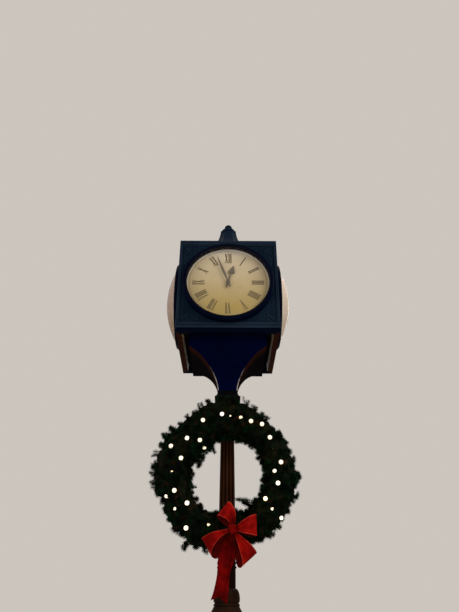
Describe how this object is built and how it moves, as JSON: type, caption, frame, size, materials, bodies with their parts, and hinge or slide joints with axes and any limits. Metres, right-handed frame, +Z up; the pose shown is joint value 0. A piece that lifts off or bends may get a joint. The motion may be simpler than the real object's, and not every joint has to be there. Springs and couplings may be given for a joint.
{
  "type": "four-dial street post clock",
  "caption": "Cast street clock: stepped base, panelled pedestal, fluted post and flared bell carry a square head with domed dials, with a lit wreath and ribbon bow on the post.",
  "frame": {"origin": "centre of the base slab's underside, on the ground", "axes": "+Z up along the post, -Y towards the front dial, +X to the right of someone facing that dial"},
  "size_m": [1.254, 1.254, 5.349],
  "materials": {
    "post_paint": "gloss paint",
    "shaft_paint": "gloss paint",
    "head_paint": "gloss paint",
    "bezel_paint": "gloss paint",
    "movement_metal": "cast",
    "dial_cream": "satin",
    "lens_clear": "clear",
    "hand_black": "satin paint",
    "wreath_green": "needles",
    "tie_wire": "matte",
    "ribbon_red": "velvet",
    "bulb_glow": "lit bulb",
    "numeral_black": "printed"
  },
  "bodies": {
    "root": {"plinth": "post_paint", "pedestal": "post_paint", "pedestal_cap": "post_paint", "column_base": "post_paint", "shaft_drum": "shaft_paint", "fluted_shaft": "shaft_paint", "capital": "post_paint", "head_bell": "head_paint", "head_floor": "head_paint", "movements": "movement_metal", "roof": "head_paint", "finial": "head_paint", "wreath": "wreath_green", "wreath_ties": "tie_wire", "bow": "ribbon_red", "bow_tails": "ribbon_red", "face_panel_front": "head_paint", "bezel_front": "bezel_paint", "dial_front": "dial_cream", "lens_front": "lens_clear", "face_panel_right": "head_paint", "bezel_right": "bezel_paint", "dial_right": "dial_cream", "lens_right": "lens_clear", "face_panel_back": "head_paint", "bezel_back": "bezel_paint", "dial_back": "dial_cream", "lens_back": "lens_clear", "face_panel_left": "head_paint", "bezel_left": "bezel_paint", "dial_left": "dial_cream", "lens_left": "lens_clear"},
    "minute_hand_front": {"minute_hand_front": "hand_black"},
    "hour_hand_front": {"hour_hand_front": "hand_black"},
    "minute_hand_right": {"minute_hand_right": "hand_black"},
    "hour_hand_right": {"hour_hand_right": "hand_black"},
    "minute_hand_back": {"minute_hand_back": "hand_black"},
    "hour_hand_back": {"hour_hand_back": "hand_black"},
    "minute_hand_left": {"minute_hand_left": "hand_black"},
    "hour_hand_left": {"hour_hand_left": "hand_black"}
  },
  "joints": [
    {"name": "minute_turn_front", "type": "hinge", "parent": "root", "child": "minute_hand_front", "pos_m": [0, -0.48, 4.2535], "axis": [0, 1, 0], "continuous": true},
    {"name": "hour_turn_front", "type": "hinge", "parent": "root", "child": "hour_hand_front", "pos_m": [0, -0.48, 4.2535], "axis": [0, 1, 0], "continuous": true},
    {"name": "minute_turn_right", "type": "hinge", "parent": "root", "child": "minute_hand_right", "pos_m": [0.48, 0, 4.2535], "axis": [-1, 0, 0], "continuous": true},
    {"name": "hour_turn_right", "type": "hinge", "parent": "root", "child": "hour_hand_right", "pos_m": [0.48, 0, 4.2535], "axis": [-1, 0, 0], "continuous": true},
    {"name": "minute_turn_back", "type": "hinge", "parent": "root", "child": "minute_hand_back", "pos_m": [0, 0.48, 4.2535], "axis": [0, -1, 0], "continuous": true},
    {"name": "hour_turn_back", "type": "hinge", "parent": "root", "child": "hour_hand_back", "pos_m": [0, 0.48, 4.2535], "axis": [0, -1, 0], "continuous": true},
    {"name": "minute_turn_left", "type": "hinge", "parent": "root", "child": "minute_hand_left", "pos_m": [-0.48, 0, 4.2535], "axis": [1, 0, 0], "continuous": true},
    {"name": "hour_turn_left", "type": "hinge", "parent": "root", "child": "hour_hand_left", "pos_m": [-0.48, 0, 4.2535], "axis": [1, 0, 0], "continuous": true}
  ],
  "couplings": [
    {"joint": "hour_turn_front", "follows": "minute_turn_front", "ratio": 0.083333},
    {"joint": "hour_turn_right", "follows": "minute_turn_right", "ratio": 0.083333},
    {"joint": "hour_turn_back", "follows": "minute_turn_back", "ratio": 0.083333},
    {"joint": "hour_turn_left", "follows": "minute_turn_left", "ratio": 0.083333}
  ]
}
